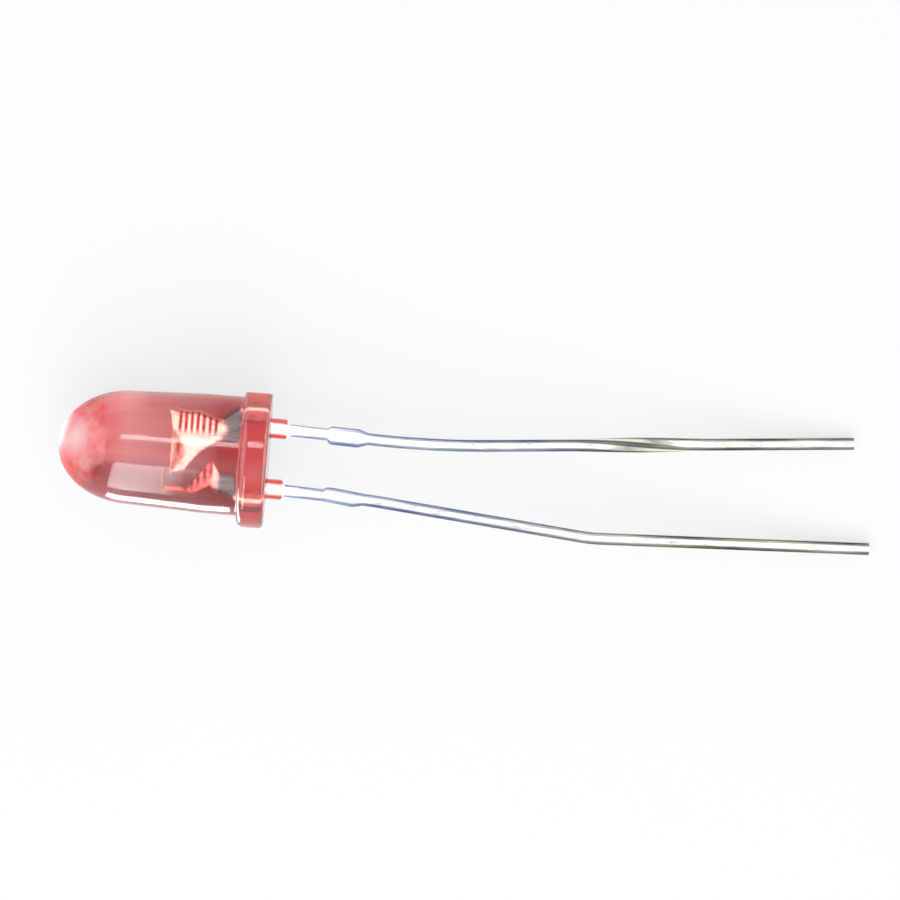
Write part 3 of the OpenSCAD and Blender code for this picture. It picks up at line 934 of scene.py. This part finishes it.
def frame_rings(height, low, high, half, f, grooves):
    """Rounded rectangles across the flat stamping at each height, with V grooves pressed into
    the upper face, each at its height and from its start outwards. With them come their painted
    edge shade and how much painted red reflection the grooves have."""
    loop, corner = section_loop(low, high, half, f.edge_round)
    y, z = loop[..., 0], loop[..., 1]
    pressed = np.zeros_like(y)
    for at, start in grooves:
        shape = np.clip(2 - 4 * np.abs(height - at) / f.groove_w, 0, 1)[:, None]
        gate = np.clip((y - start) / f.groove_end, 0, 1)
        pressed += shape * gate * np.clip(z / (half - f.edge_round), 0, 1)
    edge_shade = np.repeat(corner[None] * STAMPED_EDGE_SHADE, len(height), 0)
    return y, z - f.groove_depth * pressed, edge_shade, np.clip(2 * pressed, 0, 1)


def groove_list(f, count, start, step=0, shift=0):
    """The height and the start of each groove, from the neck upwards."""
    return [
        (f.neck_at + shift + (k + 0.5) * f.groove_pitch, start - k * step) for k in range(count)
    ]


def flange_highlight(y, height, highlight_at, f):
    """1 on the painted highlight strip along a lead inside the flange."""
    strip = smooth_step(1.5 - np.abs(np.abs(y) - highlight_at) / f.highlight_w)
    return strip * smooth_step((f.strip_len + f.groove_pitch - height) / f.groove_pitch)


def flange_reflection(y, height, highlight_at, f):
    """How much painted red reflection of the flange a lead has, beside its painted highlight strip.
    """
    inside = smooth_step((f.strip_len - height) / f.highlight_w + 0.5)
    return FLANGE_RED_REFLECTION * np.clip(inside - flange_highlight(y, height, highlight_at, f), 0, 1)


def shade_mask(y, height, highlight_at, above, f):
    """How much painted shade the stamping has: above, past its neck, and nearly 1 below, apart
    from the painted highlight strip inside the flange and a painted highlight beside the neck."""
    below_neck, inside_neck, spread = NECK_HIGHLIGHT
    patch = np.exp(
        -((height - f.neck_at + below_neck) ** 2 + (y - f.neck_out + inside_neck) ** 2) / spread
    )
    low = smooth_step((f.neck_at - height) / f.groove_pitch)
    shaded = above * (1 - low) + low * SHADE_BELOW
    return np.clip(shaded - flange_highlight(y, height, highlight_at, f) - patch * low, 0, 1)


def lead_edges(s):
    """Distance from the axis to the inner and the outer side of a lead at the flange."""
    return (s.pitch - s.width) / 2, (s.pitch + s.width) / 2


def whole_skin(lead, body, caps, end, edge_shade, edge, painted_shade, red_reflection):
    """One closed skin from a lead's rounded tip along its rings, those of its stamping and those
    that close it, to the point end, with its three masks."""
    tips = cap_rings(lead[0], TIP_ROUND, TIP_SHARES)
    on_tips, on_caps = np.zeros(tips.shape[:2]), np.zeros(caps.shape[:2])
    masks = {
        "edge": [on_tips + TIP_EDGE_SHADE, edge_shade, edge, on_caps, [TIP_EDGE_SHADE, 0]],
        "painted_shade": [on_tips, edge_shade * 0, painted_shade, on_caps, [0, 0]],
        "red_reflection": [on_tips, edge_shade * 0, red_reflection, on_caps, [0, 0]],
    }
    rings = np.concatenate([tips[::-1], lead, body, caps])
    points, faces = close_rings(rings, rings[0].mean(0), end)
    return points, faces, {key: np.concatenate([*map(np.ravel, v)]) for key, v in masks.items()}


def cup_sizes(f):
    """The cup's radius at its mouth, outside and on its floor, and the height of its floor."""
    mouth, floor = f.cup_mouth_d / 2, f.cup_floor_d / 2
    return mouth, mouth + f.cup_wall, floor, f.cup_top - f.cup_depth


def anvil_outline(height, horn_at, s, f):
    """Inner and outer edge of the anvil at each height."""
    lead_in, lead_out = lead_edges(s)
    cup_r = cup_sizes(f)[1]
    low = along(height, [
        [0, lead_in], [f.strip_len - STEP / 4, lead_in], [f.strip_len + STEP * 3 / 4, f.anvil_in],
        [f.neck_at, f.anvil_in], [f.cross_at, 0], [f.heel_at, -f.heel_out], [f.cup_top, -cup_r]])
    high = along(height, [
        [0, lead_out], [f.strip_len, lead_out], [f.neck_at, f.neck_out],
        [f.neck_at + f.fan_rise, f.fan_out], [horn_at, f.fan_out], [f.cup_top, f.horn_out]])
    return low, high


def grow_cup(height, y, z, f):
    """The cup's outside: from its foot up, the stamping's rings are pushed out by a smooth
    maximum of their own radius and the cup's about the axis."""
    cup_r, floor, floor_at = cup_sizes(f)[1:]
    foot_at = floor_at - f.cup_foot
    outer = along(height, [
        [foot_at, (floor + f.cup_wall) / 2], [floor_at, floor + f.cup_wall],
        [f.cup_top - f.cup_wall, cup_r], [f.cup_top, cup_r]])
    outer = np.where(height < foot_at, 0, outer)[:, None]
    far = np.hypot(y, z)
    grow = -smooth_min(-np.ones_like(far), -outer / np.maximum(far, CUP_LEAST), CUP_BLEND)
    grow = np.where(height[:, None] < foot_at, 1, np.maximum(grow, 1))
    return y * grow, z * grow


def cup_inside(last, lift, f):
    """Rings over the cup's rim, down its cone and over its floor, from the last ring outside,
    whose points are raised by lift where the horn is."""
    mouth, _, floor, floor_at = cup_sizes(f)
    way = unit(last)
    rim = mouth + 2 * CUP_EASE
    rings = [
        (last - way * CUP_EASE, f.cup_top - CUP_EASE / 2 + lift),
        (last - way * 3 * CUP_EASE, f.cup_top + lift),
        (last * 0.4 + way * rim * 0.6, f.cup_top + lift * 0.4),
    ] + [
        (way * radius, np.full(LOOP, at)) for radius, at in (
            (rim, f.cup_top), (mouth, f.cup_top - CUP_EASE),
            ((mouth + floor) / 2, (f.cup_top + floor_at) / 2),
            (floor + CUP_EASE, floor_at + 2 * CUP_EASE), (floor - 2 * CUP_EASE, floor_at),
            (floor / 3, floor_at))
    ]
    return np.array([np.column_stack([-at, place]) for place, at in rings])


def cathode_surface(s, f):
    """One closed skin from the cathode's tip along the lead, the anvil and the outside of the
    reflector cup, over its rim and down to its floor."""
    bend = (s.cathode_bend_at, s.cathode_bend_len, math.tan(math.radians(s.cathode_bend)))
    ends = s.stub_short, s.stub_mid
    rings, edge_shade = lead_rings(
        CATHODE_HI.x, 1, [bend], (s.cathode_stub_out, *ends), (s.cathode_stub_in, *ends), True, s
    )
    horn_at, horn_rise = -CATHODE_LO.x - f.horn_len, -CATHODE_LO.x - f.cup_top
    height = np.unique(np.concatenate([
        np.linspace(FIRST_RING, f.cup_top - FIRST_RING, 120),
        f.strip_len + STEP * np.array([-0.5, 0.25, 1]),
        np.linspace(f.neck_at, f.cup_top - FIRST_RING, 150),
    ]))
    up = height[:, None]
    low, high = anvil_outline(height, horn_at, s, f)
    grooves = groove_list(f, f.anvil_grooves, f.anvil_groove_in)
    y, z, edge, pressed = frame_rings(height, low, high, s.width / 2, f, grooves)
    # Painted shade on the stamping, with painted highlights beside the neck and in the flange
    painted_shade = shade_mask(y, up, f.cathode_highlight, 0.0, f)
    # Painted red reflections: in the cup's hollow, in the grooves and in the flange
    cup_reflection = np.exp(
        -((up - f.cup_top + CUP_REFLECTION_AT[0]) / CUP_REFLECTION_SIZE[0]) ** 2
        - ((y - CUP_REFLECTION_AT[1]) / CUP_REFLECTION_SIZE[1]) ** 2
    )
    red_reflection = np.maximum(np.maximum(pressed, cup_reflection), flange_reflection(y, up, f.cathode_highlight, f))
    y, z = grow_cup(height, y, z, f)
    cup_r, _, floor_at = cup_sizes(f)[1:]
    lift = horn_rise * np.clip((y - cup_r) / (f.horn_out - cup_r), 0, 1)
    body = np.stack([
        -up - lift * np.clip((up - horn_at) / (f.cup_top - horn_at), 0, 1), y, z
    ], -1)
    cup = cup_inside(body[-1, :, 1:], lift[-1], f)
    return whole_skin(rings, body, cup, [-floor_at, 0, 0], edge_shade, edge, painted_shade, red_reflection)


def anode_surface(s, f):
    """One closed skin from the anode's tip along the lead to the top of its post."""
    bends = [
        (s.anode_bend_at, s.anode_bend_len, -math.tan(math.radians(s.anode_bend))),
        (s.kink_at, s.kink_len, math.tan(math.radians(s.kink))),
    ]
    rings, edge_shade = lead_rings(
        ANODE_HI.x, -1, bends, (s.anode_stub, s.stub_short, s.stub_long),
        (s.anode_stub, s.stub_long, s.stub_mid), False, s
    )
    lead_in, lead_out = lead_edges(s)
    top, arm_in = -ANODE_LO.x, cup_sizes(f)[1] + f.frame_gap
    shoulder, neck = f.strip_len + f.post_set, f.neck_at + f.post_set
    height = np.unique(np.concatenate([
        np.linspace(FIRST_RING, top - POST_ROUND, 130),
        np.linspace(f.neck_at, f.arm_at + ARM_START, 110),
    ]))
    up = height[:, None]
    low = along(height, [
        [0, -lead_out], [f.strip_len, -lead_out], [shoulder, -f.post_out], [neck, -f.neck_out],
        [f.neck_at + f.fan_rise, -f.post_out], [top, -f.post_out]])
    high = along(height, [
        [0, -lead_in], [f.strip_len, -lead_in], [shoulder, -f.post_low_in],
        [f.neck_at - f.post_set, -f.post_low_in], [neck, -f.post_in], [f.arm_at, -arm_in],
        [top, -arm_in]])
    grooves = groove_list(
        f, f.post_grooves, -f.post_groove_out, f.post_groove_step, f.post_groove_shift)
    y, z, edge, pressed = frame_rings(height, low, high, s.width / 2, f, grooves)
    # Painted shade on the post, with painted highlights beside the neck and in the flange
    painted_shade = shade_mask(y, up, f.anode_highlight, POST_SHADE, f)
    # Painted red reflections: on the post, on its -Y side face, in the grooves and in the flange
    on_post = POST_RED_REFLECTION * smooth_step((up - f.neck_at) / f.groove_pitch)
    on_side = np.clip(2 - 8 * np.abs(z) / s.width, 0, 1) * (y < 0)
    in_flange = flange_reflection(y, up, f.anode_highlight, f)
    red_reflection = np.max([pressed, on_post + 0 * y, on_side, in_flange], axis=0)
    body = np.stack([-up + 0 * y, y, z], -1)
    caps = cap_rings(body[-1], -POST_ROUND, POST_SHARES)
    return whole_skin(rings, body, caps, caps[-1].mean(0), edge_shade, edge, painted_shade, red_reflection)


# ---- Die, adhesive and bond wire -----------------------------------------------------------------

# The ball as shares of its height and radius, and the adhesive as shares of its depth and radius
BALL_PROFILE = ((0.05, 0.8), (0.25, 0.96), (0.5, 1), (0.8, 0.88), (1, 0.45))
ADHESIVE_PROFILE = ((0, 1), (0.4, 0.99), (0.8, 0.9), (1, 0.78))


def round_block(lo, hi, radius, count=12):
    """A box whose corners are a sphere's octants, with count points each way: points of a unit
    sphere, pushed apart by the sign of each of their parts."""
    lo, hi = np.array(lo), np.array(hi)
    tilt = np.radians(np.concatenate([
        np.linspace(89, 0.01, count), np.linspace(-0.01, -89, count)
    ]))[:, None]
    turn = np.radians(np.concatenate([
        start + np.linspace(0.5, 89.5, count) for start in (0, 90, 180, 270)
    ]))
    ball = np.stack([
        np.sin(tilt) + 0 * turn, np.cos(tilt) * np.cos(turn), np.cos(tilt) * np.sin(turn)
    ], -1)
    middle, half = (lo + hi) / 2, (hi - lo) / 2 - radius
    rings = middle + np.sign(ball) * half + ball * radius
    return close_rings(rings, [hi[0], *middle[1:]], [lo[0], *middle[1:]])


def turned_surface(profile, count, start, end):
    """A profile of [x, r] turned about the X axis, from high x to low x, with closed ends."""
    return close_rings(turned_rings(profile, full_turn(count)), [start, 0, 0], [end, 0, 0])


def adhesive_surface():
    """A low mound that narrows towards the die."""
    back, front, radius = ADHESIVE_HI.x, ADHESIVE_LO.x, ADHESIVE_HI.y
    profile = [
        [back * (1 - deep) + front * deep, radius * wide] for deep, wide in ADHESIVE_PROFILE
    ]
    return turned_surface(profile, 48, back, front)


def wire_surface(f, s, count=16):
    """A ball on the die, and a round wire with count points about it, along a cubic curve from
    the ball to the post's end."""
    start, ball_end = DIE_LO.x, DIE_LO.x - s.ball_h
    ball = turned_surface(
        [[start - s.ball_h * at, s.ball_d / 2 * wide] for at, wide in BALL_PROFILE],
        24, start, ball_end - 0.001,
    )
    top = ANODE_LO.x
    middle = -(cup_sizes(f)[1] + f.frame_gap + f.post_out) / 2
    path = np.array([
        [ball_end, 0, 0], [-f.cup_top - 1.6 * s.loop_rise, 0, 0],
        [top - 1.1 * s.loop_rise, middle, 0], [top, middle, 0]
    ])
    t = np.linspace(0, 1, 48)[:, None]
    centre = (
        (1 - t) ** 3 * path[0] + 3 * t * (1 - t) ** 2 * path[1]
        + 3 * t ** 2 * (1 - t) * path[2] + t ** 3 * path[3]
    )
    way = unit(np.gradient(centre, axis=0))
    up = np.array([0, 0, 1.0])
    across = np.cross(way, up)
    turn = full_turn(count)[None, :, None]
    rings = centre[:, None] + s.wire_d / 2 * (across[:, None] * np.cos(turn) + up * np.sin(turn))
    return join([ball, close_rings(rings, centre[0], centre[-1])])


# ---- Stage ---------------------------------------------------------------------------------------

FLOOR_RADIUS = 2500
FLOOR_RINGS, FLOOR_AROUND = 24, 96
# The white horizon: how high the backdrop starts to show, and below which height it is full
HORIZON = (0.25, 0.1)
# How far the middle of the view lies off the middle of the part
CAMERA_OFF = (-0.76, 1.02)
LIGHT_BOUNCES = 16
LEADS = ("cathode", "anode")
# Each lamp: its place, what it faces, its two sizes, its radiance, whether it shows as gloss or on
# matt surfaces, and the only pieces that it lights, where it doesn't light them all. The window
# and the two low cards stand beside the lens, which mirrors them.
LAMPS = {
    "key": ((0, -330, 220), (0, 0, 0), (260, 160), 3.0, "matt"),
    "fill": ((0, -120, 230), (0, 0, 0), (260, 260), 1.5, "matt"),
    "tube": ((10, 100, 270), (0, 0, 0), (160, 40), 7.0, "gloss"),
    "window": ((-11.3, -26.4, 12.2), (-11.3, 0, 1), (9.5, 38), 5.5, "gloss"),
    "low card": ((-4.25, -3.6, -0.2), (-4.25, 0, 0.4), (5.6, 1.0), 10.0, "gloss"),
    "dome card": ((-17, 1.0, LENS_LO.z + 0.1), (-17, 1.0, 9), (14, 2.6), 4.5, "gloss"),
    "left": ((-150, 0, 107), (0, 0, 107), (300, 215), 2.0, "gloss"),
    "right": ((150, 0, 107), (0, 0, 107), (300, 215), 4.0, "gloss"),
    "frame card": ((-2.6, 0.3, 3.4), (-2.6, 0.3, 0), (7, 7), 4.0, "gloss", LEADS),
    "lead card": ((12, 30, 125), (12, 0, 0), (120, 70), 0.92, "gloss", LEADS),
}


def area_lamp(name, place, target, size, radiance, shows, lit=()):
    """A rectangular lamp at place that faces target, in millimetres, with its own radiance. It
    shows only as gloss, or only on matt surfaces, and one with a list of pieces lights only
    those."""
    data = bpy.data.lights.new(name, "AREA")
    data.shape = "RECTANGLE"
    data.size, data.size_y = size[0] * MM, size[1] * MM
    # the radiance is a quarter of the energy for each square metre
    data.energy = 4 * radiance * data.size * data.size_y
    lamp = bpy.data.objects.new(name, data)
    place, target = Vector(place) * MM, Vector(target) * MM
    back = (place - target).normalized()
    aside = Vector((0, 1, 0)) if abs(back.x) > 0.9 else Vector((1, 0, 0))
    up = back.cross(aside).normalized()
    side = up.cross(back).normalized()
    turn = Matrix((side, up, back)).transposed().to_4x4()
    lamp.matrix_world = Matrix.Translation(place) @ turn
    lamp.visible_camera = False
    lamp.visible_transmission = False
    lamp.visible_diffuse = shows == "matt"
    lamp.visible_glossy = shows == "gloss"
    if lit:
        data.cycles.use_multiple_importance_sampling = False
        pieces = bpy.data.collections.new(f"lit by {name}")
        for piece in lit:
            pieces.objects.link(bpy.data.objects[piece])
        lamp.light_linking.receiver_collection = pieces
    bpy.context.scene.collection.objects.link(lamp)


def floor_surface(level):
    """A disc of rings about the part, whose radius grows by a square law, at the lowest point."""
    radius = np.linspace(0.02, 1, FLOOR_RINGS)[:, None] ** 2 * FLOOR_RADIUS
    turn = full_turn(FLOOR_AROUND)
    disc = np.stack([radius * np.cos(turn), radius * np.sin(turn), level + 0 * radius * turn], -1)
    return close_rings(disc, first=[0, 0, level])


def seen_rays(nodes):
    """1 for what the camera sees straight or in gloss, and 1 for what it sees in the resin."""
    rays = nodes.add("ShaderNodeLightPath").outputs
    straight = nodes.math("MAXIMUM", rays["Is Camera Ray"], rays["Is Glossy Ray"])
    return straight, rays["Is Transmission Ray"]


def floor_material(look):
    """A pale, matt paper with a barely uneven tone. A share of plain white is laid over it to
    the camera, in gloss and in what the resin lets through, so that it looks white and still
    keeps the shadow."""
    material, nodes, out = new_material("pale paper")
    grain = use_group(nodes, "grain", Scale=90.0, Along=1.0)
    tone = nodes.mix(grain["Patches"], look.floor, darker(look.floor, 0.99))
    paper = nodes.add("ShaderNodeBsdfDiffuse", Color=tone)
    white = nodes.add("ShaderNodeEmission", Color=(1, 1, 1, 1), Strength=1.0)
    straight, in_resin = seen_rays(nodes)
    share = nodes.math(
        "MAXIMUM", nodes.math("MULTIPLY", straight, look.floor_glow),
        nodes.math("MULTIPLY", in_resin, look.resin_glow))
    nodes.feed(out.inputs["Surface"], nodes.blend(share, paper, white))
    return material


def studio_world(look):
    """A dim room with a soft glow overhead, and a white backdrop round the horizon that shows to
    the camera and in gloss, and all round in what the resin lets through."""
    world = bpy.data.worlds.new("studio")
    bpy.context.scene.world = world
    world.use_nodes = True
    world.node_tree.nodes.clear()
    nodes = Nodes(world.node_tree)
    tilt = math.radians(look.glow_tilt)
    way = nodes.add("ShaderNodeTexCoord").outputs["Generated"]
    rise = nodes.add("ShaderNodeSeparateXYZ", Vector=way).outputs["Z"]
    near = nodes.measure("DOT_PRODUCT", way, (0, -math.sin(tilt), math.cos(tilt)))
    crown = nodes.math("POWER", nodes.math("MAXIMUM", near, 0.0), look.glow_power)
    straight, in_resin = seen_rays(nodes)
    horizon = nodes.math("MULTIPLY", nodes.ramp(rise, *HORIZON), straight)
    backdrop = nodes.math("MAXIMUM", horizon, in_resin)
    low = nodes.add("ShaderNodeBackground", Color=nodes.mix(backdrop, look.room, (1, 1, 1)))
    high = nodes.add(
        "ShaderNodeBackground", Color=(*look.glow, 1),
        Strength=nodes.math("MULTIPLY", crown, look.glow_level))
    total = nodes.add("ShaderNodeAddShader")
    nodes.feed(total.inputs[0], low.outputs[0])
    nodes.feed(total.inputs[1], high.outputs[0])
    out = nodes.add("ShaderNodeOutputWorld")
    nodes.feed(out.inputs["Surface"], total.outputs[0])


def studio_camera(look):
    """A long lens that looks straight down on the part, a little turned."""
    data = bpy.data.cameras.new("camera")
    data.lens = data.sensor_width * look.camera_height / look.frame_width
    data.clip_start, data.clip_end = 0.01, 10
    camera = bpy.data.objects.new("camera", data)
    middle = (CAD_BOX[0] + CAD_BOX[1]) / 2
    place = Vector((
        middle.x + CAMERA_OFF[0] * MM, middle.y + CAMERA_OFF[1] * MM, look.camera_height * MM
    ))
    turn = Matrix.Rotation(math.radians(look.camera_turn), 4, "Z")
    camera.matrix_world = Matrix.Translation(place) @ turn
    bpy.context.scene.collection.objects.link(camera)
    bpy.context.scene.camera = camera


# ---- Operators -----------------------------------------------------------------------------------


class LED_OT_lens(bpy.types.Operator):
    """Build the resin lens with its flange and collars"""

    bl_idname = "led.lens"
    bl_label = "Resin lens"

    def execute(self, context):
        scene = context.scene
        pitch = scene.led_leads.pitch
        resin = resin_material(scene.led_resin, pitch)
        surface = lens_surface(scene.led_lens, pitch)
        add_piece("resin_lens", "epoxy_lens", resin, surface)
        return {"FINISHED"}


class LED_OT_leads(bpy.types.Operator):
    """Build both leads with the leadframe inside the lens"""

    bl_idname = "led.leads"
    bl_label = "Leads"

    def execute(self, context):
        scene = context.scene
        sizes = scene.led_leads, scene.led_stamping
        plated = plated_material(scene.led_metal)
        add_piece("cathode", "cathode_lead", plated, cathode_surface(*sizes))
        add_piece("anode", "anode_lead", plated, anode_surface(*sizes))
        return {"FINISHED"}


class LED_OT_die(bpy.types.Operator):
    """Build the die, the adhesive under it and the bond wire"""

    bl_idname = "led.die"
    bl_label = "Die and bond wire"

    def execute(self, context):
        scene = context.scene
        s = scene.led_small
        dark = plain_material(
            "semiconductor", s.die, s.die_dark, roughness=0.3, metallic=0.2, scale=9000.0)
        silver = plain_material(
            "silver adhesive", s.silver, s.silver_dark, roughness=0.55, metallic=0.6, scale=12000.0)
        gold = plain_material(
            "gold", s.gold, s.gold_dark, roughness=0.25, metallic=1.0, scale=20000.0)
        block = round_block(DIE_LO, DIE_HI, s.die_round)
        wire = wire_surface(scene.led_stamping, s)
        add_piece("die", "led_die", dark, block)
        add_piece("adhesive", "die_adhesive", silver, adhesive_surface())
        add_piece("wire", "bond_wire", gold, wire)
        return {"FINISHED"}


class LED_OT_stage(bpy.types.Operator):
    """Build the floor, the light and the camera"""

    bl_idname = "led.stage"
    bl_label = "Stage"

    def execute(self, context):
        scene = context.scene
        look = scene.led_stage
        floor = make_piece("floor", *floor_surface(CAD_BOX[0].z / MM))
        floor.data.materials.append(floor_material(look))
        studio_world(look)
        for name, lamp in LAMPS.items():
            area_lamp(name, *lamp)
        studio_camera(look)
        scene.view_settings.view_transform = "Standard"
        scene.cycles.max_bounces = LIGHT_BOUNCES
        scene.cycles.transmission_bounces = LIGHT_BOUNCES
        scene.cycles.transparent_max_bounces = LIGHT_BOUNCES
        scene.cycles.caustics_reflective = False
        scene.cycles.caustics_refractive = False
        return {"FINISHED"}


class LED_PT_panel(bpy.types.Panel):
    """Lists the steps that build the LED"""

    bl_label = "Through-hole LED"
    bl_idname = "LED_PT_panel"
    bl_space_type = "VIEW_3D"
    bl_region_type = "UI"
    bl_category = "LED"

    def draw(self, context):
        for operator in OPERATORS:
            self.layout.operator(operator.bl_idname)


OPERATORS = (LED_OT_lens, LED_OT_leads, LED_OT_die, LED_OT_stage)
PROPERTIES = {
    "led_lens": LensSizes,
    "led_leads": LeadSizes,
    "led_stamping": StampingSizes,
    "led_small": SmallParts,
    "led_resin": ResinLook,
    "led_metal": MetalLook,
    "led_stage": StageLook,
}


def register():
    for group in PROPERTIES.values():
        bpy.utils.register_class(group)
    for name, group in PROPERTIES.items():
        setattr(bpy.types.Scene, name, bpy.props.PointerProperty(type=group))
    for item in (*OPERATORS, LED_PT_panel):
        bpy.utils.register_class(item)


def unregister():
    for item in (LED_PT_panel, *OPERATORS[::-1]):
        bpy.utils.unregister_class(item)
    for name, group in PROPERTIES.items():
        delattr(bpy.types.Scene, name)
        bpy.utils.unregister_class(group)


def main():
    register()
    make_groups()
    bpy.ops.led.lens()
    bpy.ops.led.leads()
    bpy.ops.led.die()
    bpy.ops.led.stage()


if __name__ == "__main__":
    main()
